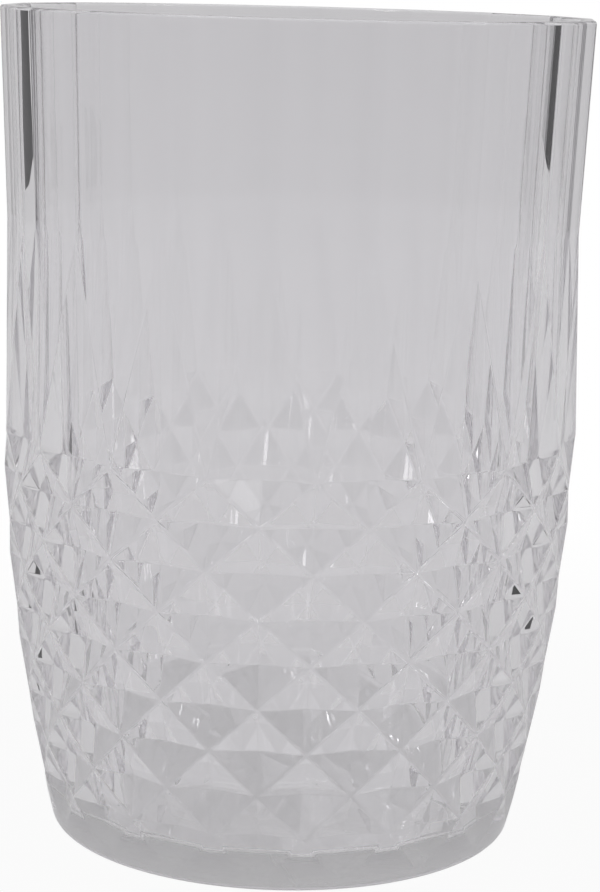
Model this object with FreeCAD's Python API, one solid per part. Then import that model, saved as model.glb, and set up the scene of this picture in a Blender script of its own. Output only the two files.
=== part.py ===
import FreeCAD, Part
import math
import os

# Clear drinking tumbler, moulded in one piece.
# Millimetres, +Z up, origin at the centre of the foot on the table.
# The outside is a skin of flat facets: diamond pits between raised crossing
# ridges, then tall pointed hollows, then upright flat panels up to the rim.
# The inside is a smooth round bore with a flat floor.

# Zones of the outside, stacked from the table to the rim
foot_band_height = 8.5      # table to the lowest row of ridge crossings
ridge_row_count = 9         # rows of ridge crossings
row_pitch = 6.4             # height from one row of crossings to the next
spear_length = 30.3         # tall pointed hollows above the highest row
panel_length = 29.8         # upright part of the panels, up to the rim

# Round the cup
side_count = 18             # upright panels, one above each crossing of the highest row

# Outside radii, from the centre line
belly_radius = 42.0         # ridges at the widest level
belly_rise = 3.3            # widest level above the highest row of crossings
belly_curve_radius = 253.0  # curve of the side, seen from the side
waist_setback = 0.5         # belly less the panel corners at the points of the spears
rim_flare = 1.15            # panel corners at the rim less those at the spear points

# Pits, foot and rim
pit_depth = 1.7             # middle of a pit below the round form of the ridges
ridge_cover = 0.03          # smooth foot band outside the ridges
foot_corner_radius = 1.6
rim_edge_radius = 0.45

# Inside
floor_thickness = 5.0
floor_corner_radius = 1.6
belly_wall = 3.0            # ridge to bore at the widest level
rim_wall = 1.7              # middle of a panel to bore at the rim

# Levels and radii that follow from the sizes above
top_row = ridge_row_count - 1
top_row_height = foot_band_height + top_row * row_pitch
spear_tip_height = top_row_height + spear_length
cup_height = spear_tip_height + panel_length
belly_height = top_row_height + belly_rise
half_side = math.pi / side_count
spear_tip_radius = belly_radius - waist_setback
rim_corner_radius = spear_tip_radius + rim_flare
rim_bore_radius = rim_corner_radius * math.cos(half_side) - rim_wall
belly_bore_radius = belly_radius - belly_wall

# The cutting forms run past the cup by this much
overrun = 5.0

# The turned side is made in this many level bands, and a turned round in this many bevels
side_band_count = 3
round_bevel_count = 3

# Columns from the middle of one panel to the middle of the next
columns_per_side = 2
column_count = columns_per_side * side_count


def side_radius(widest_radius, curve_radius, height):
    """Radius at a height of a side that bulges to its widest at the belly level."""
    drop = belly_height - height
    return widest_radius - curve_radius + math.sqrt(curve_radius ** 2 - drop ** 2)


def place(radius, column, height):
    """Point on a column; the columns run down panel middles and panel corners in turn."""
    turn = column * half_side
    return FreeCAD.Vector(radius * math.sin(turn), -radius * math.cos(turn), height)


def is_crossing(row, column):
    """Ridges cross where this is true, and a pit has its middle where it is false."""
    return (top_row - row + column) % 2 == 0


def lattice_point(row, column):
    height = foot_band_height + row * row_pitch
    radius = side_radius(belly_radius, belly_curve_radius, height)
    if not is_crossing(row, column):
        radius -= pit_depth
    return place(radius, column, height)


def foot_point(column):
    """Where the lowest facets, carried on past the foot band, end below the table."""
    height = -overrun
    pit_column = column if not is_crossing(0, column) else column + 1
    pit = lattice_point(0, pit_column)
    crossing = lattice_point(0, pit_column - 1)
    tip_height = foot_band_height - row_pitch
    tip_radius = side_radius(belly_radius, belly_curve_radius, tip_height)
    tip = place(tip_radius, pit_column, tip_height)
    if column == pit_column:
        return pit + (tip - pit) * ((pit.z - height) / (pit.z - tip.z))
    normal = (tip - pit).cross(crossing - pit)
    outward = place(1.0, column, 0.0)
    radius = (normal.dot(pit) - normal.z * height) / normal.dot(outward)
    return place(radius, column, height)


def flat_face(*corners):
    return Part.Face(Part.makePolygon(list(corners) + [corners[0]]))


def pit_faces():
    """Four flat facets in each diamond, split along the ridges."""
    faces = []
    for row in range(top_row):
        for column in range(column_count):
            low = lattice_point(row, column)
            low_next = lattice_point(row, column + 1)
            high = lattice_point(row + 1, column)
            high_next = lattice_point(row + 1, column + 1)
            if is_crossing(row, column):
                faces.append(flat_face(low, low_next, high_next))
                faces.append(flat_face(low, high_next, high))
            else:
                faces.append(flat_face(low, low_next, high))
                faces.append(flat_face(low_next, high_next, high))
    return faces


def foot_faces():
    """Lowest facets of the lowest pits; the foot band cuts them to points."""
    faces = []
    for column in range(column_count):
        faces.append(flat_face(foot_point(column), foot_point(column + 1),
                               lattice_point(0, column + 1), lattice_point(0, column)))
    faces.append(flat_face(*[foot_point(column) for column in range(column_count)]))
    return faces


def panel_faces():
    """Spear-shaped hollows on the corners, and the pointed panels between them."""
    faces = []
    for middle in range(0, column_count, columns_per_side):
        crossing = lattice_point(top_row, middle)
        pit = lattice_point(top_row, middle + 1)
        next_crossing = lattice_point(top_row, middle + columns_per_side)
        tip = place(spear_tip_radius, middle + 1, spear_tip_height)
        last_tip = place(spear_tip_radius, middle - 1, spear_tip_height)
        rim_corner = place(rim_corner_radius, middle + 1, cup_height)
        last_rim_corner = place(rim_corner_radius, middle - 1, cup_height)
        faces.append(flat_face(crossing, pit, tip))
        faces.append(flat_face(pit, next_crossing, tip))
        faces.append(flat_face(crossing, tip, last_tip))
        faces.append(flat_face(last_tip, tip, rim_corner, last_rim_corner))
    corners = range(1, column_count, columns_per_side)
    rim = [place(rim_corner_radius, column, cup_height) for column in corners]
    faces.append(flat_face(*rim))
    return faces


def turned(arcs, points):
    """Solid of revolution of a section made of given arcs and of lines through points."""
    lines = [Part.makeLine(start, end) for start, end in zip(points, points[1:])]
    section = Part.Face(Part.Wire(Part.__sortEdges__(arcs + lines)))
    return section.revolve(FreeCAD.Vector(0, 0, 0), FreeCAD.Vector(0, 0, 1), 360)


def points_about(centre, radius, start_turn, end_turn, steps):
    """Points along an arc in the XZ plane, with turns measured from +X towards +Z."""
    turns = [start_turn + (end_turn - start_turn) * step / steps for step in range(steps + 1)]
    return [centre + FreeCAD.Vector(math.cos(turn), 0, math.sin(turn)) * radius for turn in turns]


def arcs_about(centre, radius, start_turn, end_turn, bands):
    """The same arc as true arcs, one for each band."""
    points = points_about(centre, radius, start_turn, end_turn, 2 * bands)
    return [Part.Arc(*points[first:first + 3]).toShape() for first in range(0, 2 * bands, 2)]


def bulging_side(widest_radius, curve_radius, flat_height, corner_radius):
    """Points round the corner above a flat, and arcs on up a bulging side to its widest level."""
    centre = FreeCAD.Vector(widest_radius - curve_radius, 0, belly_height)
    corner_height = flat_height + corner_radius
    inset_radius = side_radius(widest_radius - corner_radius, curve_radius - corner_radius, corner_height)
    corner_centre = FreeCAD.Vector(inset_radius, 0, corner_height)
    reach = corner_centre - centre
    turn = math.atan2(reach.z, reach.x)
    corner = points_about(corner_centre, corner_radius, -math.pi / 2, turn, round_bevel_count)
    side = arcs_about(centre, curve_radius, turn, 0.0, side_band_count)
    return corner, side


def turned_outside():
    """Round form over the ridges, with the smooth foot band and its rounded corner."""
    widest = belly_radius + ridge_cover
    corner, side = bulging_side(widest, belly_curve_radius, 0.0, foot_corner_radius)
    clear = widest + overrun
    top = cup_height + overrun
    lines = [FreeCAD.Vector(widest, 0, belly_height),
             FreeCAD.Vector(clear, 0, belly_height + overrun),
             FreeCAD.Vector(clear, 0, top),
             FreeCAD.Vector(0, 0, top),
             FreeCAD.Vector(0, 0, 0)]
    return turned(side, lines + corner)


def bore():
    """Smooth inside: it follows the belly below, and opens gently up to the rounded rim."""
    low_corner, low_side = bulging_side(belly_bore_radius, belly_curve_radius - belly_wall,
                                        floor_thickness, floor_corner_radius)
    rise = cup_height - belly_height
    opening = rim_bore_radius - belly_bore_radius
    bend_radius = (rise ** 2 + opening ** 2) / (2 * opening)
    bend_centre = FreeCAD.Vector(belly_bore_radius + bend_radius, 0, belly_height)
    reach_up = rise - rim_edge_radius
    reach_in = math.sqrt((bend_radius - rim_edge_radius) ** 2 - reach_up ** 2)
    rim_centre = bend_centre + FreeCAD.Vector(-reach_in, 0, reach_up)
    lean = math.atan2(reach_up, reach_in)
    high_side = arcs_about(bend_centre, bend_radius, math.pi, math.pi - lean, 1)
    rim_corner = points_about(rim_centre, rim_edge_radius, math.pi - lean, math.pi / 2, round_bevel_count)
    lines = [FreeCAD.Vector(rim_centre.x, 0, cup_height + overrun),
             FreeCAD.Vector(0, 0, cup_height + overrun),
             FreeCAD.Vector(0, 0, floor_thickness)]
    return turned(low_side + high_side, rim_corner + lines + low_corner)


def round_rim(blank):
    """Round the outer edges of the panels at the rim, the only edges as high as the cup."""
    edges = []
    for edge in blank.Edges:
        levels = [vertex.Z for vertex in edge.Vertexes]
        if min(levels) > cup_height - rim_edge_radius:
            edges.append(edge)
    return blank.makeFillet(rim_edge_radius, edges).Solids[0]


def tumbler():
    skin = Part.makeShell(foot_faces() + pit_faces() + panel_faces())
    skin.sewShape()
    faceted = Part.makeSolid(skin)
    if faceted.Volume < 0:
        faceted.reverse()
    outside = round_rim(faceted.common(turned_outside()))
    return outside.cut(bore()).Solids[0]


os.makedirs("parts", exist_ok=True)
cup = tumbler()
cup.exportStep("parts/tumbler.step")
size = cup.optimalBoundingBox()
print("tumbler", cup.isValid(), len(cup.Solids), len(cup.Faces), round(cup.Volume))
print("size", round(size.XLength, 2), round(size.YLength, 2), round(size.ZLength, 2))
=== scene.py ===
import math

import bmesh
import bpy
from bpy.props import FloatProperty, FloatVectorProperty, IntProperty, PointerProperty
from mathutils import Matrix, Vector


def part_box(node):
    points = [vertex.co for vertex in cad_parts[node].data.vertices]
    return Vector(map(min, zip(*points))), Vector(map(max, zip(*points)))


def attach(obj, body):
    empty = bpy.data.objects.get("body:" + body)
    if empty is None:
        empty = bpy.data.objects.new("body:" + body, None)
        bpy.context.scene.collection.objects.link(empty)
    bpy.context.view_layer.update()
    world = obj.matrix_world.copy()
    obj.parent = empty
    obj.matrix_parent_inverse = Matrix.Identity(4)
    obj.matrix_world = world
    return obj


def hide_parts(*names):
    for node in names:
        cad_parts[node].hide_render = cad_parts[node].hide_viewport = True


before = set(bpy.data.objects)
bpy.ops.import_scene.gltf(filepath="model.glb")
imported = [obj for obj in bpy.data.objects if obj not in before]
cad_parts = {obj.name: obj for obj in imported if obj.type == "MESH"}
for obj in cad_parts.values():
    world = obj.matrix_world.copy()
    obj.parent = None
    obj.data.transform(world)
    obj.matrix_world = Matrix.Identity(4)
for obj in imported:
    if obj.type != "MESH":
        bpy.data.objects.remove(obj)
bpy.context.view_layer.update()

# Clear drinking tumbler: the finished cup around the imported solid, its clear plastic and its
# studio. Metres, +Z up, the same frame as the solid; -Y goes through the middle of a panel.

bl_info = {
    "name": "Clear Tumbler",
    "version": (1, 0, 0),
    "blender": (4, 5, 0),
    "location": "View3D > Sidebar > Tumbler",
    "description": "Builds a faceted clear tumbler, its plastic and a plain studio",
    "category": "Add Mesh",
}

BODY = "root"
NODE = "tumbler"
PIECE = "clear_tumbler"
MM = 0.001

CUP_LOW, CUP_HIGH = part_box(NODE)

# Width of the photograph's frame, in pixels
FRAME_WIDTH = 600

# Fine steps of the round faces, and the radius of a flat's inner ring as a share of the flat's
CORNER_STEPS = 6
SIDE_STEPS = 10
BAND_STEPS = 3
BISECTIONS = 40
INNER_RING = 0.55

# Points nearer than this are one point, in one side and where two sides meet
SAME_PLACE = 1e-7
JOIN_DISTANCE = 20 * SAME_PLACE

# Plastic: size of its waves and of its clouds of wear, and how far up its waves are stretched
WAVE_SIZE = 5 * MM
WAVE_STRETCH = (1.0, 1.0, 0.25)
WEAR_SIZE = 9 * MM
WEAR_START = 0.6

# Papers: distances between which the painted shadow under the cup fades, broad mottle and fine
# grain
SHADE_START = 25 * MM
SHADE_END = 280 * MM
PAPER_MOTTLE = 0.16
PAPER_DARKER = 0.89
PAPER_ROUGHNESS = 0.9
PAPER_GRAIN = 1.5 * MM
PAPER_GRAIN_HEIGHT = 0.05 * MM
PAPER_GRAIN_STRENGTH = 0.3

# Cloth of the cards that shade the cup's sides
CLOTH_WEAVE = 4 * MM
CLOTH_COLOURS = ((0.01, 0.01, 0.011), (0.03, 0.03, 0.032))
CLOTH_ROUGHNESS = 0.95

# Rings of the sheets as (radius, height), finer near the cup, and the raised edge of the white one
SHEET_RINGS = ((0.1, 0.0), (0.3, 0.0), (1.0, 0.0), (12.0, 0.0))
SHEET_WALL = (12.0, 10.0)
SHEET_TURNS = 96

# Dark cards on the table behind the cup: name and the turns from the camera's aim to both ends
CARDS = (("left_card", math.radians(-56.0), math.radians(-36.0)),
         ("right_card", math.radians(48.0), math.radians(70.0)))
CARD_DISTANCE = 1.13
CARD_HEIGHT = 0.08

# Square lamps: name, place, width and watts
LAMPS = (("key_light", (-0.7, -0.6, 0.9), 0.20, 1.2),
         ("fill_light", (0.8, -0.4, 0.7), 0.20, 0.8),
         ("front_light", (0.05, -0.9, 0.33), 0.12, 0.07),
         ("left_front_light", (-0.62, -0.66, 0.33), 0.12, 0.07),
         ("right_front_light", (0.70, -0.60, 0.33), 0.12, 0.07))
TOP_LAMP = ("top_light", (0.0, 0.1, 1.2), 1.1, 4.5)

# Room: colour of its light, how it weakens upwards between two heights of a direction, and how
# uneven it grows towards the front
ROOM_COLOUR = (1.0, 0.992, 1.002, 1.0)
OVERHEAD_START = 0.08
OVERHEAD_END = 0.5
OVERHEAD_LIGHT = 0.86
ROOM_FRONT = -0.6
ROOM_CONTRAST = 0.8
ROOM_SCALE = 1.6

# Bounces of light that it takes to light the plastic to its edges
CLEAR_BOUNCES = 28


def length(name, value, description):
    """A size in metres that the sidebar shows with its unit."""
    return FloatProperty(name=name, default=value, description=description, unit="LENGTH",
                         subtype="DISTANCE", precision=5)


def share(name, value, description):
    return FloatProperty(name=name, default=value, description=description, min=0.0, max=1.0,
                         subtype="FACTOR", precision=3)


def colour(name, value, description):
    return FloatVectorProperty(name=name, default=value, description=description, size=3,
                               subtype="COLOR", min=0.0, max=1.0)


class TumblerShape(bpy.types.PropertyGroup):
    """Sizes of the cup."""
    side_count: IntProperty(name="Sides", default=18, min=6,
                            description="Upright panels round the cup")
    row_count: IntProperty(name="Ridge rows", default=9, min=3,
                           description="Rows of ridge crossings")
    foot_band: length("Foot band", 8.5 * MM, "Table to the lowest row of crossings")
    row_pitch: length("Row pitch", 6.4 * MM, "Height from one row of crossings to the next")
    spear: length("Spears", 30.3 * MM, "Tall pointed hollows above the highest row")
    belly_radius: length("Belly radius", 42.0 * MM, "Ridges at the widest level")
    belly_rise: length("Belly rise", 3.3 * MM, "Widest level above the highest row")
    belly_curve: length("Belly curve", 253.0 * MM, "Radius of the side, seen from the side")
    waist_setback: length("Waist setback", 0.5 * MM, "Belly less the corners at the spear points")
    rim_flare: length("Rim flare", 1.15 * MM, "Corners at the rim less those at the spear points")
    pit_depth: length("Pit depth", 1.7 * MM, "Middle of a pit below the ridges")
    foot_corner: length("Foot corner", 1.6 * MM, "Round of the foot")
    rim_edge: length("Rim edge", 0.45 * MM, "Round of the rim's edges")
    floor: length("Floor", 5.0 * MM, "Thickness of the floor")
    floor_corner: length("Floor corner", 1.6 * MM, "Round inside, at the floor")
    belly_wall: length("Belly wall", 3.0 * MM, "Ridge to bore at the widest level")
    rim_wall: length("Rim wall", 1.7 * MM, "Middle of a panel to bore at the rim")
    ridge_round: length("Ridge round", 0.38 * MM, "Half the width of the smooth strip on a ridge")
    crease_round: length("Crease round", 0.12 * MM, "Half the width of the strip in a crease")
    corner_round: length("Corner round", 0.2 * MM, "Half the width of the strip on a panel corner")
    round_steps: IntProperty(name="Round steps", default=16, min=4,
                             description="Steps of the round faces in one side's width")


class TumblerFinish(bpy.types.PropertyGroup):
    """Look of the plastic."""
    tint: colour("Tint", (0.985, 0.98, 0.99), "Colour that each surface gives to light")
    tint_change: share("Tint change", 0.01, "How much the tint clouds over the cup")
    depth_tint: colour("Depth tint", (0.30, 0.26, 0.34), "Colour that thick plastic turns to")
    depth_density: FloatProperty(name="Depth density", default=4.2, min=0.0,
                                 description="How fast thick plastic takes its colour, per metre")
    refraction: FloatProperty(name="Refraction", default=1.49, min=1.0, max=2.0,
                              description="Index of the plastic")
    wear_rough: share("Wear", 0.3, "Roughness that handling adds in the worn patches")
    wave_height: length("Waves", 0.03 * MM, "Height of the faint waves that moulding leaves")


class TumblerStage(bpy.types.PropertyGroup):
    """Studio and camera."""
    paper: colour("Paper", (0.97, 0.97, 0.975), "Colour of the paper round the cup")
    # Painted shadow of the cup, on the paper that lights it and on the white sheet that the camera
    # sees
    paper_shade: share("Paper shade", 0.18, "How much darker the paper is where the cup stands")
    sheet_shade: share("Sheet shade", 0.04, "How much darker the white sheet is there")
    paper_light: FloatProperty(name="Paper light", default=0.25, min=0.0,
                               description="Strength of the even light on the paper")
    ambient: FloatProperty(name="Ambient", default=0.61, min=0.0,
                           description="Strength of the soft light all round")
    camera_distance: length("Camera distance", 364.1 * MM, "Camera from the cup's centre line")
    camera_height: length("Camera height", 127.0 * MM, "Camera above the table")
    camera_turn: FloatProperty(name="Camera turn", default=math.radians(-5.075), subtype="ANGLE",
                               description="Camera round the cup, from the middle of a panel")
    camera_pan: FloatProperty(name="Camera pan", default=math.radians(0.254), subtype="ANGLE",
                              description="Camera's aim to the right of the centre line")
    camera_pitch: FloatProperty(name="Camera pitch", default=math.radians(10.947), subtype="ANGLE",
                                description="Camera's aim below the horizon")
    camera_roll: FloatProperty(name="Camera roll", default=math.radians(1.528), subtype="ANGLE",
                               description="Camera's turn about its own aim")
    focal_pixels: FloatProperty(name="Focal length in pixels", default=2511.1, min=1.0,
                                description="Focal length in pixels of the photograph's frame")


class CupForm:
    """Points and sections of the cup, worked out from its sizes."""

    def __init__(self, sizes, height):
        self.sizes = sizes
        self.height = height
        self.half_side = math.pi / sizes.side_count
        self.top_row = sizes.row_count - 1
        self.top_row_height = sizes.foot_band + self.top_row * sizes.row_pitch
        self.tip_height = self.top_row_height + sizes.spear
        self.belly_height = self.top_row_height + sizes.belly_rise
        self.tip_radius = sizes.belly_radius - sizes.waist_setback
        self.rim_radius = self.tip_radius + sizes.rim_flare
        self.rim_bore = self.rim_radius * math.cos(self.half_side) - sizes.rim_wall
        self.belly_bore = sizes.belly_radius - sizes.belly_wall

    def side_radius(self, widest, curve, height):
        """Radius of a side that bulges to its widest at the belly."""
        drop = self.belly_height - height
        return widest - curve + math.sqrt(curve ** 2 - drop ** 2)

    def ridge_radius(self, height):
        return self.side_radius(self.sizes.belly_radius, self.sizes.belly_curve, height)

    def place(self, radius, column, height):
        """Columns run down panel middles and panel corners in turn; a column may be part of one."""
        turn = column * self.half_side
        return Vector((radius * math.sin(turn), -radius * math.cos(turn), height))

    def is_crossing(self, row, column):
        return (self.top_row - row + column) % 2 == 0

    def lattice_point(self, row, column):
        height = self.sizes.foot_band + row * self.sizes.row_pitch
        radius = self.ridge_radius(height)
        if not self.is_crossing(row, column):
            radius -= self.sizes.pit_depth
        return self.place(radius, column, height)

    def tip(self, column):
        return self.place(self.tip_radius, column, self.tip_height)

    def steps(self, start=-1.0, end=1.0):
        """Columns of the fine steps between two columns."""
        count = round(self.sizes.round_steps * (end - start) / 2)
        return [start + (end - start) * step / count for step in range(count + 1)]

    def circle(self, radius, height):
        return [self.place(radius, column, height) for column in self.steps()]

    def flat_ring(self, reach, height):
        """Straight ring at the middle of a panel, as far out as reach says."""
        return [self.place(reach / math.cos(column * self.half_side), column, height)
                for column in self.steps()]

    def foot_edge(self, column):
        """Where the lowest facets run out into the smooth foot band."""
        outer = 1.0 if column > 0 else -1.0
        pit = self.lattice_point(0, outer)
        crossing = self.lattice_point(0, 0)
        low = self.sizes.foot_band - self.sizes.row_pitch
        point = self.place(self.ridge_radius(low), outer, low)
        normal = (point - pit).cross(crossing - pit)
        outward = self.place(1.0, column, 0.0)
        high = self.sizes.foot_band
        for _ in range(BISECTIONS):
            middle = (low + high) / 2
            facet = (normal.dot(pit) - normal.z * middle) / normal.dot(outward)
            if facet > self.ridge_radius(middle):
                low = middle
            else:
                high = middle
        return (low + high) / 2

    def arc(self, centre, radius, start, end, steps):
        """Points (radius, height) on an arc in the section."""
        turns = [start + (end - start) * step / steps for step in range(steps + 1)]
        return [(centre[0] + radius * math.cos(turn), centre[1] + radius * math.sin(turn))
                for turn in turns]

    def corner(self, widest, curve, flat_height, radius):
        """Round between a flat and a bulging side, from the flat upwards."""
        height = flat_height + radius
        centre_radius = self.side_radius(widest - radius, curve - radius, height)
        end = math.atan2(height - self.belly_height, centre_radius - widest + curve)
        return self.arc((centre_radius, height), radius, -math.pi / 2, end, CORNER_STEPS)

    def rim_outside(self):
        """Round from a panel's face to the top, as (reach, height) at the panel's middle."""
        low_reach = self.tip_radius * math.cos(self.half_side)
        high_reach = self.rim_radius * math.cos(self.half_side)
        lean = math.atan2(high_reach - low_reach, self.height - self.tip_height)
        edge = self.sizes.rim_edge
        centre = (high_reach - edge * math.tan(lean) - edge / math.cos(lean), self.height - edge)
        return self.arc(centre, edge, -lean, math.pi / 2, CORNER_STEPS)

    def bore(self):
        """Section of the inside, from the top of the rim down to the floor."""
        sizes = self.sizes
        edge = sizes.rim_edge
        rise = self.height - self.belly_height
        opening = self.rim_bore - self.belly_bore
        bend = (rise ** 2 + opening ** 2) / (2 * opening)
        reach_up = rise - edge
        reach_in = math.sqrt((bend - edge) ** 2 - reach_up ** 2)
        lean = math.atan2(reach_up, reach_in)
        rim_centre = (self.belly_bore + bend - reach_in, self.height - edge)
        rim = self.arc(rim_centre, edge, math.pi / 2, math.pi - lean, CORNER_STEPS)
        high = self.arc((self.belly_bore + bend, self.belly_height), bend, math.pi - lean, math.pi,
                        SIDE_STEPS)
        curve = sizes.belly_curve - sizes.belly_wall
        corner = self.corner(self.belly_bore, curve, sizes.floor, sizes.floor_corner)
        foot_turn = math.asin((corner[-1][1] - self.belly_height) / curve)
        low = self.arc((self.belly_bore - curve, self.belly_height), curve, 0.0, foot_turn,
                       SIDE_STEPS)
        return rim + high[1:] + low[1:] + corner[-2::-1]


class Skin:
    """One side's share of the cup's surface, as a mesh whose edges carry how round they are."""

    def __init__(self):
        self.mesh = bmesh.new()
        self.points = {}
        self.roundness = self.mesh.edges.layers.float.new("bevel_weight_edge")

    def point(self, place):
        key = tuple(round(value / SAME_PLACE) for value in place)
        if key not in self.points:
            self.points[key] = self.mesh.verts.new(place)
        return self.points[key]

    def face(self, *places):
        self.mesh.faces.new([self.point(place) for place in places])

    def strip(self, ring, next_ring):
        for a, b, c, d in zip(ring, ring[1:], next_ring[1:], next_ring):
            self.face(a, b, c, d)

    def round_off(self, start, end, weight):
        edge = self.mesh.edges.get((self.point(start), self.point(end)))
        edge[self.roundness] = weight

    def finished(self, name):
        mesh = bpy.data.meshes.new(name)
        self.mesh.to_mesh(mesh)
        self.mesh.free()
        mesh.shade_smooth()
        return mesh


def add_pits(skin, form, crease):
    """Diamond pits: each cell is split along its ridge."""
    for row in range(form.top_row):
        for column in (-1, 0):
            low, low_next = form.lattice_point(row, column), form.lattice_point(row, column + 1)
            high = form.lattice_point(row + 1, column)
            high_next = form.lattice_point(row + 1, column + 1)
            if form.is_crossing(row, column):
                skin.face(low, low_next, high_next)
                skin.face(low, high_next, high)
                skin.round_off(low, high_next, 1.0)
            else:
                skin.face(low, low_next, high)
                skin.face(low_next, high_next, high)
                skin.round_off(low_next, high, 1.0)
            for start, end in ((low, low_next), (low, high), (low_next, high_next),
                               (high, high_next)):
                skin.round_off(start, end, crease)


def add_foot(skin, form, crease, corner):
    """Flat foot, its round, the smooth band and the points of the lowest facets."""
    sizes = form.sizes
    section = form.corner(sizes.belly_radius, sizes.belly_curve, 0.0, sizes.foot_corner)
    rings = [form.circle(radius, height) for radius, height in section]
    columns = form.steps()
    edges = [form.foot_edge(column) for column in columns]
    band_low = section[-1][1]
    for band in range(1, BAND_STEPS + 1):
        heights = [band_low + (edge - band_low) * band / BAND_STEPS for edge in edges]
        rings.append([form.place(form.ridge_radius(height), column, height)
                      for column, height in zip(columns, heights)])
    middle = Vector((0.0, 0.0, 0.0))
    inner = form.circle(section[0][0] * INNER_RING, 0.0)
    for start, end in zip(inner, inner[1:]):
        skin.face(middle, end, start)
    for ring, next_ring in zip([inner] + rings, rings):
        skin.strip(ring, next_ring)
    edge = rings[-1]
    half = len(edge) // 2
    left_pit, right_pit = form.lattice_point(0, -1), form.lattice_point(0, 1)
    skin.face(left_pit, *edge[:half + 1])
    skin.face(*edge[half:], right_pit)
    for start, end in zip(edge, edge[1:]):
        skin.round_off(start, end, corner)
    skin.round_off(left_pit, edge[0], crease)
    skin.round_off(right_pit, edge[-1], crease)
    skin.round_off(left_pit, edge[half], crease)
    skin.round_off(right_pit, edge[half], crease)


def add_panel(skin, form, crease, corner):
    """Half of two spears, the point of the panel between them, and the panel up to the rim."""
    crossing = form.lattice_point(form.top_row, 0)
    tips = {side: form.tip(side) for side in (-1, 1)}
    pits = {side: form.lattice_point(form.top_row, side) for side in (-1, 1)}
    skin.face(crossing, pits[1], tips[1])
    skin.face(pits[-1], crossing, tips[-1])
    skin.face(crossing, tips[1], tips[-1])
    rings = [form.flat_ring(reach, height) for reach, height in form.rim_outside()]
    skin.face(tips[-1], tips[1], *reversed(rings[0]))
    for ring, next_ring in zip(rings, rings[1:]):
        skin.strip(ring, next_ring)
    for side, end in ((-1, 0), (1, -1)):
        skin.round_off(crossing, tips[side], corner)
        skin.round_off(pits[side], tips[side], crease)
        skin.round_off(pits[side], crossing, crease)
        skin.round_off(tips[side], rings[0][end], corner)
    skin.round_off(tips[-1], tips[1], 1.0)
    return rings[-1]


def add_inside(skin, form, rim):
    """Top of the rim, the bore and the floor."""
    rings = [rim] + [form.circle(radius, height) for radius, height in form.bore()]
    floor_radius = form.bore()[-1][0]
    rings.append(form.circle(floor_radius * INNER_RING, form.sizes.floor))
    for ring, next_ring in zip(rings, rings[1:]):
        skin.strip(ring, next_ring)
    middle = Vector((0.0, 0.0, form.sizes.floor))
    for start, end in zip(rings[-1], rings[-1][1:]):
        skin.face(start, end, middle)


def side_mesh(sizes, height):
    """One side of the cup, from the middle of the foot round to the middle of the floor."""
    form = CupForm(sizes, height)
    crease = sizes.crease_round / sizes.ridge_round
    corner = sizes.corner_round / sizes.ridge_round
    skin = Skin()
    add_foot(skin, form, crease, corner)
    add_pits(skin, form, crease)
    rim = add_panel(skin, form, crease, corner)
    add_inside(skin, form, rim)
    return skin.finished("tumbler_side")


def new_tree(name, inputs):
    """Geometry tree with a geometry input and output and named inputs."""
    tree = bpy.data.node_groups.new(name, "GeometryNodeTree")
    tree.interface.new_socket("Geometry", in_out="INPUT", socket_type="NodeSocketGeometry")
    for label, kind in inputs:
        tree.interface.new_socket(label, in_out="INPUT", socket_type=kind)
    tree.interface.new_socket("Geometry", in_out="OUTPUT", socket_type="NodeSocketGeometry")
    return tree


class Value:
    """A node's output socket that can be used in expressions of numbers."""

    def __init__(self, tree, socket):
        self.tree = tree
        self.socket = socket

    def math(self, operation, *values):
        node = add_node(self.tree, "ShaderNodeMath", {"operation": operation})
        for socket, value in zip(node.inputs, values):
            feed(self.tree, socket, value)
        return Value(self.tree, node.outputs[0])

    def __add__(self, other):
        return self.math("ADD", self, other)

    def __radd__(self, other):
        return self.math("ADD", other, self)

    def __sub__(self, other):
        return self.math("SUBTRACT", self, other)

    def __mul__(self, other):
        return self.math("MULTIPLY", self, other)

    def __rmul__(self, other):
        return self.math("MULTIPLY", other, self)

    def __rtruediv__(self, other):
        return self.math("DIVIDE", other, self)

    def __pow__(self, other):
        return self.math("POWER", self, other)

    def at_least(self, other):
        return self.math("MAXIMUM", self, other)

    def mapped(self, start, end, low, high, kind="SMOOTHSTEP"):
        """Smooth change from low to high while this value goes from start to end."""
        node = add_node(self.tree, "ShaderNodeMapRange", {"interpolation_type": kind}, Value=self,
                        From_Min=start, From_Max=end, To_Min=low, To_Max=high)
        return Value(self.tree, node.outputs[0])


def feed(tree, socket, value):
    """Links an input to a value or a socket, or sets it to a constant."""
    if isinstance(value, Value):
        value = value.socket
    if isinstance(value, bpy.types.NodeSocket):
        tree.links.new(value, socket)
    else:
        socket.default_value = value


def add_node(tree, kind, settings=None, **inputs):
    """A node with its settings made first, then its inputs fed by name."""
    node = tree.nodes.new(kind)
    for name, value in (settings or {}).items():
        setattr(node, name, value)
    for name, value in inputs.items():
        feed(tree, node.inputs[name.replace("_", " ")], value)
    return node


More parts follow.
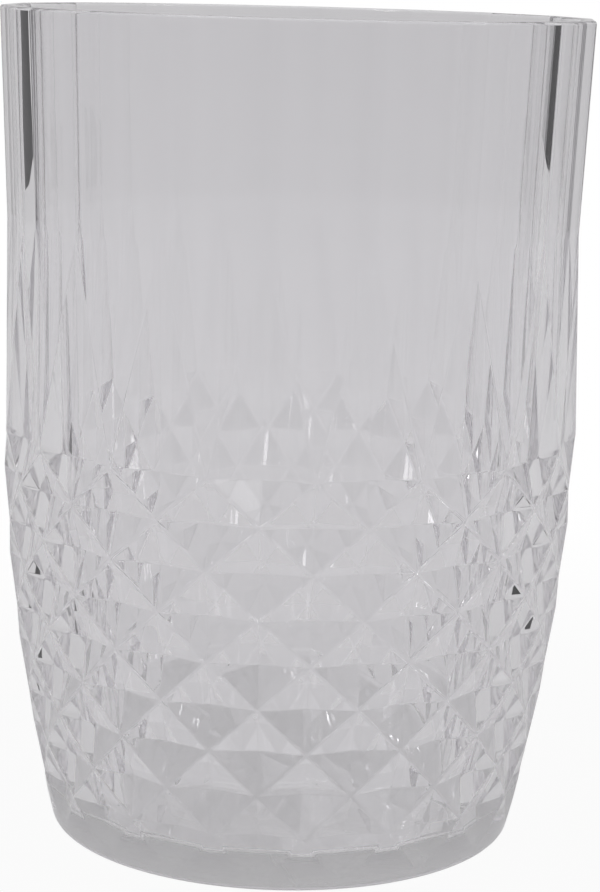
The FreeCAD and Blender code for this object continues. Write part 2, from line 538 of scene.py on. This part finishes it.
def ring_of_sides_tree():
    """Repeats one side round the centre line and joins the copies into one closed surface."""
    tree = new_tree("Ring of sides", [("Side count", "NodeSocketInt"),
                                      ("Join distance", "NodeSocketFloat"),
                                      ("Material", "NodeSocketMaterial")])
    start = add_node(tree, "NodeGroupInput")
    count = Value(tree, start.outputs["Side count"])
    points = add_node(tree, "GeometryNodePoints", Count=count)
    index = Value(tree, add_node(tree, "GeometryNodeInputIndex").outputs["Index"])
    about_z = add_node(tree, "ShaderNodeCombineXYZ", Z=index * (2 * math.pi / count))
    rotation = add_node(tree, "FunctionNodeEulerToRotation", Euler=about_z.outputs["Vector"])
    placed = add_node(tree, "GeometryNodeInstanceOnPoints", Points=points.outputs[0],
                      Instance=start.outputs["Geometry"], Rotation=rotation.outputs[0])
    real = add_node(tree, "GeometryNodeRealizeInstances", Geometry=placed.outputs["Instances"])
    joined = add_node(tree, "GeometryNodeMergeByDistance", Geometry=real.outputs["Geometry"],
                      Distance=start.outputs["Join distance"])
    finished = add_node(tree, "GeometryNodeSetMaterial", Geometry=joined.outputs["Geometry"],
                        Material=start.outputs["Material"])
    add_node(tree, "NodeGroupOutput", Geometry=finished.outputs["Geometry"])
    return tree


def set_tree_inputs(modifier, values):
    """Sets a tree's inputs by their sockets' identifiers."""
    for item in modifier.node_group.interface.items_tree:
        if item.item_type == "SOCKET" and item.in_out == "INPUT" and item.name in values:
            modifier[item.identifier] = values[item.name]


def make_plain(piece):
    """Turns a piece with live modifiers into a plain mesh."""
    bpy.context.view_layer.update()
    graph = bpy.context.evaluated_depsgraph_get()
    mesh = bpy.data.meshes.new_from_object(piece.evaluated_get(graph), depsgraph=graph,
                                           preserve_all_data_layers=True)
    piece.modifiers.clear()
    piece.data = mesh
    mesh.name = piece.name


def build_cup(sizes, finish):
    """The whole cup as one closed mesh, with its ridges, creases and corners rounded."""
    piece = bpy.data.objects.new(PIECE, side_mesh(sizes, CUP_HIGH.z))
    bpy.context.scene.collection.objects.link(piece)
    ring = piece.modifiers.new("Ring of sides", "NODES")
    ring.node_group = ring_of_sides_tree()
    set_tree_inputs(ring, {"Side count": sizes.side_count, "Join distance": JOIN_DISTANCE,
                           "Material": clear_plastic(finish)})
    rounds = piece.modifiers.new("Rounds", "BEVEL")
    rounds.limit_method = "WEIGHT"
    rounds.width = sizes.ridge_round
    rounds.segments = 2
    rounds.use_clamp_overlap = False
    rounds.face_strength_mode = "FSTR_AFFECTED"
    shade = piece.modifiers.new("Shading", "WEIGHTED_NORMAL")
    shade.use_face_influence = True
    make_plain(piece)
    return piece


class Finish:
    """A material and the nodes that feed its shader."""

    def __init__(self, name):
        self.material = bpy.data.materials.new(name)
        self.material.use_nodes = True
        self.tree = self.material.node_tree
        self.shader = next(node for node in self.tree.nodes if node.type == "BSDF_PRINCIPLED")

    def node(self, kind, settings=None, output=0, **inputs):
        """The output asked for of a new node."""
        return Value(self.tree, add_node(self.tree, kind, settings, **inputs).outputs[output])

    def set(self, **values):
        """Sets or feeds the shader's own inputs."""
        for name, value in values.items():
            feed(self.tree, self.shader.inputs[name.replace("_", " ")], value)

    def fill(self, kind, **values):
        """Fills the inside of the piece with a shader."""
        output = next(node for node in self.tree.nodes if node.type == "OUTPUT_MATERIAL")
        feed(self.tree, output.inputs["Volume"], self.node(kind, **values))

    def place(self):
        """Place on the piece, in metres."""
        return self.node("ShaderNodeTexCoord", output="Object")

    def painted_shadow_mask(self, place):
        """Mask of the painted shadow: 1 under the cup, fading to 0 around it."""
        parts = add_node(self.tree, "ShaderNodeSeparateXYZ", Vector=place)
        x, y = Value(self.tree, parts.outputs["X"]), Value(self.tree, parts.outputs["Y"])
        away = (x * x + y * y) ** 0.5
        return away.mapped(SHADE_START, SHADE_END, 1.0, 0.0, "SMOOTHERSTEP")

    def bump(self, height, distance, strength=1.0):
        return self.node("ShaderNodeBump", Height=height, Distance=distance, Strength=strength)

    def noise(self, place, size, detail=2.0):
        """Soft cloud from 0 to 1 whose lumps are as large as size says."""
        return self.node("ShaderNodeTexNoise", output="Fac", Vector=place, Scale=1.0 / size,
                         Detail=detail)

    def mixed(self, factor, first, second):
        """Colour between two colours."""
        node = add_node(self.tree, "ShaderNodeMix", {"data_type": "RGBA"}, Factor=factor)
        colours = [socket for socket in node.inputs if socket.type == "RGBA"]
        for socket, value in zip(colours, (first, second)):
            feed(self.tree, socket, value if isinstance(value, Value) else (*value, 1.0))
        result = next(socket for socket in node.outputs if socket.type == "RGBA")
        return Value(self.tree, result)


def clear_plastic(finish):
    """Clear moulded plastic with a faint tint, soft upright waves and light handling wear."""
    look = Finish("clear plastic")
    place = look.place()
    tint = tuple(finish.tint)
    dark = tuple(part * (1.0 - finish.tint_change) for part in tint)
    stretched = look.node("ShaderNodeMapping", Vector=place, Scale=WAVE_STRETCH)
    wave = look.noise(stretched, WAVE_SIZE, detail=1.0)
    worn = look.noise(place, WEAR_SIZE, detail=1.0)
    patches = (worn - WEAR_START).at_least(0.0)
    look.set(Base_Color=look.mixed(worn, dark, tint), Transmission_Weight=1.0,
             IOR=finish.refraction, Roughness=finish.wear_rough * patches,
             Normal=look.bump(wave, finish.wave_height))
    look.fill("ShaderNodeVolumeAbsorption", Color=(*finish.depth_tint, 1.0),
              Density=finish.depth_density)
    return look.material


def pale_paper(paper, shade):
    """Matt paper, mottled round about, with a painted shadow darkening it where the cup stands."""
    look = Finish("pale paper")
    place = look.place()
    around = look.node("ShaderNodeVectorMath", {"operation": "NORMALIZE"}, Vector=place)
    mottle = look.noise(around, PAPER_MOTTLE, detail=1.0)
    base = tuple(paper)
    darker = tuple(part * PAPER_DARKER for part in base)
    # Painted shadow: the paper's colour darkened where the cup stands
    painted_shadow_colour = tuple(part * (1.0 - shade) for part in base)
    look.set(Base_Color=look.mixed(look.painted_shadow_mask(place), look.mixed(mottle, darker, base), painted_shadow_colour),
             Roughness=PAPER_ROUGHNESS,
             Normal=look.bump(look.noise(place, PAPER_GRAIN), PAPER_GRAIN_HEIGHT,
                              PAPER_GRAIN_STRENGTH))
    return look.material


def white_sheet(shade):
    """Evenly bright white sheet that glows, with a faint painted shadow where the cup stands."""
    look = Finish("white sheet")
    place = look.place()
    look.set(Base_Color=(0.0, 0.0, 0.0, 1.0), Roughness=1.0, Specular_IOR_Level=0.0,
             # Painted shadow: the glow is a little weaker where the cup stands
             Emission_Color=look.mixed(look.painted_shadow_mask(place), (1.0, 1.0, 1.0), (1.0 - shade,) * 3),
             Emission_Strength=1.0)
    return look.material


def dark_cloth():
    """Black cloth of the cards that shade the cup's sides."""
    look = Finish("dark cloth")
    weave = look.noise(look.place(), CLOTH_WEAVE)
    look.set(Base_Color=look.mixed(weave, *CLOTH_COLOURS), Roughness=CLOTH_ROUGHNESS)
    return look.material


def add_piece(name, mesh, material):
    piece = bpy.data.objects.new(name, mesh)
    bpy.context.scene.collection.objects.link(piece)
    mesh.materials.append(material)
    return piece


def hide_from(piece, *paths):
    """Keeps a piece or lamp out of the sight of some kinds of light path."""
    for path in paths:
        setattr(piece, "visible_" + path, False)


def add_round_sheet(name, rings, material):
    """Wide round sheet on the table, made of rings round the cup."""
    work = bmesh.new()
    turns = [2 * math.pi * step / SHEET_TURNS for step in range(SHEET_TURNS)]
    loops = [[work.verts.new((radius * math.cos(turn), radius * math.sin(turn), height))
              for turn in turns] for radius, height in rings]
    middle = work.verts.new((0.0, 0.0, 0.0))
    for step in range(SHEET_TURNS):
        after = (step + 1) % SHEET_TURNS
        work.faces.new((middle, loops[0][step], loops[0][after]))
        for loop, next_loop in zip(loops, loops[1:]):
            work.faces.new((loop[step], next_loop[step], next_loop[after], loop[after]))
    mesh = bpy.data.meshes.new(name)
    work.to_mesh(mesh)
    work.free()
    sheet = add_piece(name, mesh, material)
    return sheet


def add_floor(stage):
    """Paper that lights the cup, and the white sheet that the camera sees in its place."""
    paper = add_round_sheet("floor", SHEET_RINGS, pale_paper(stage.paper, stage.paper_shade))
    hide_from(paper, "camera")
    sheet = add_round_sheet("white_sheet", (*SHEET_RINGS, SHEET_WALL),
                            white_sheet(stage.sheet_shade))
    hide_from(sheet, "diffuse", "glossy", "transmission", "shadow")


def add_card(name, start, end, material):
    """Low dark card behind the cup, between two turns, that only the cup's plastic sees."""
    foot = [Vector((math.sin(turn), math.cos(turn), 0.0)) * CARD_DISTANCE for turn in (start, end)]
    top = [corner + Vector((0.0, 0.0, CARD_HEIGHT)) for corner in foot]
    mesh = bpy.data.meshes.new(name)
    mesh.from_pydata([*foot, *reversed(top)], [], [(0, 1, 2, 3)])
    card = add_piece(name, mesh, material)
    hide_from(card, "camera", "diffuse", "shadow")


def add_lamp(name, place, size, watts):
    """Square soft light aimed at the middle of the cup."""
    light = bpy.data.lights.new(name, "AREA")
    light.size = size
    light.energy = watts
    lamp = bpy.data.objects.new(name, light)
    lamp.location = place
    aim = (CUP_LOW + CUP_HIGH) / 2 - Vector(place)
    lamp.rotation_euler = aim.to_track_quat("-Z", "Y").to_euler()
    hide_from(lamp, "camera")
    bpy.context.scene.collection.objects.link(lamp)
    return lamp


def add_paper_light(strength):
    """Even light straight down that only the paper takes."""
    light = bpy.data.lights.new("paper_light", "SUN")
    light.energy = strength
    lamp = bpy.data.objects.new("paper_light", light)
    hide_from(lamp, "camera", "glossy", "transmission")
    bpy.context.scene.collection.objects.link(lamp)


def add_camera(stage):
    """Camera at the photograph's angle."""
    camera = bpy.data.cameras.new("camera")
    camera.sensor_fit = "HORIZONTAL"
    camera.lens = camera.sensor_width * stage.focal_pixels / FRAME_WIDTH
    holder = bpy.data.objects.new("camera", camera)
    turn = Matrix.Rotation(stage.camera_turn, 4, "Z")
    place = Matrix.Translation((0.0, -stage.camera_distance, stage.camera_height))
    pan = Matrix.Rotation(-stage.camera_pan, 4, "Z")
    pitch = Matrix.Rotation(math.pi / 2 - stage.camera_pitch, 4, "X")
    roll = Matrix.Rotation(stage.camera_roll, 4, "Z")
    holder.matrix_world = turn @ place @ pan @ pitch @ roll
    bpy.context.scene.collection.objects.link(holder)
    bpy.context.scene.camera = holder


def set_world(strength):
    """Even light behind the cup, weaker overhead, and uneven like a room in front of it."""
    world = bpy.data.worlds.new("soft light")
    world.use_nodes = True
    tree = world.node_tree
    background = next(node for node in tree.nodes if node.type == "BACKGROUND")
    direction = add_node(tree, "ShaderNodeTexCoord").outputs["Generated"]
    parts = add_node(tree, "ShaderNodeSeparateXYZ", Vector=direction)
    up, back = Value(tree, parts.outputs["Z"]), Value(tree, parts.outputs["Y"])
    overhead = up.mapped(OVERHEAD_START, OVERHEAD_END, 1.0, OVERHEAD_LIGHT)
    contrast = back.mapped(0.0, ROOM_FRONT, 0.0, ROOM_CONTRAST)
    clouds = add_node(tree, "ShaderNodeTexNoise", Vector=direction, Scale=ROOM_SCALE, Detail=1.0)
    centred = Value(tree, clouds.outputs["Fac"]) - 0.5
    feed(tree, background.inputs["Strength"], overhead * (1.0 + centred * contrast) * strength)
    feed(tree, background.inputs["Color"], ROOM_COLOUR)
    bpy.context.scene.world = world


class TUMBLER_OT_cup(bpy.types.Operator):
    """Build the clear cup in the place of its solid"""
    bl_idname = "tumbler.cup"
    bl_label = "Build cup"

    def execute(self, context):
        cup = build_cup(context.scene.tumbler_shape, context.scene.tumbler_finish)
        hide_from(cup, "shadow", "diffuse")
        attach(cup, BODY)
        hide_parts(NODE)
        return {"FINISHED"}


class TUMBLER_OT_stage(bpy.types.Operator):
    """Set up the floor, the soft lights, the shading cards and the camera"""
    bl_idname = "tumbler.stage"
    bl_label = "Set up studio"

    def execute(self, context):
        stage = context.scene.tumbler_stage
        add_floor(stage)
        cloth = dark_cloth()
        for name, start, end in CARDS:
            add_card(name, start - stage.camera_turn, end - stage.camera_turn, cloth)
        for name, place, size, watts in LAMPS:
            add_lamp(name, place, size, watts)
        hide_from(add_lamp(*TOP_LAMP), "diffuse")
        add_paper_light(stage.paper_light)
        set_world(stage.ambient)
        add_camera(stage)
        context.scene.view_settings.view_transform = "Standard"
        paths = context.scene.cycles
        paths.max_bounces = paths.transmission_bounces = paths.glossy_bounces = CLEAR_BOUNCES
        paths.diffuse_bounces = 1
        return {"FINISHED"}


class TUMBLER_PT_panel(bpy.types.Panel):
    """Sizes, finish and studio of the tumbler"""
    bl_idname = "TUMBLER_PT_panel"
    bl_label = "Tumbler"
    bl_space_type = "VIEW_3D"
    bl_region_type = "UI"
    bl_category = "Tumbler"

    def draw(self, context):
        for title, group, button in (("Shape", context.scene.tumbler_shape, None),
                                     ("Finish", context.scene.tumbler_finish, TUMBLER_OT_cup),
                                     ("Studio", context.scene.tumbler_stage, TUMBLER_OT_stage)):
            box = self.layout.box()
            box.label(text=title)
            for name in group.__annotations__:
                box.prop(group, name)
            if button:
                box.operator(button.bl_idname)


CLASSES = (TumblerShape, TumblerFinish, TumblerStage, TUMBLER_OT_cup, TUMBLER_OT_stage,
           TUMBLER_PT_panel)


def register():
    for kind in CLASSES:
        bpy.utils.register_class(kind)
    bpy.types.Scene.tumbler_shape = PointerProperty(type=TumblerShape)
    bpy.types.Scene.tumbler_finish = PointerProperty(type=TumblerFinish)
    bpy.types.Scene.tumbler_stage = PointerProperty(type=TumblerStage)


def unregister():
    del bpy.types.Scene.tumbler_stage
    del bpy.types.Scene.tumbler_finish
    del bpy.types.Scene.tumbler_shape
    for kind in reversed(CLASSES):
        bpy.utils.unregister_class(kind)


def main():
    register()
    bpy.ops.tumbler.cup()
    bpy.ops.tumbler.stage()


if __name__ == "__main__":
    main()
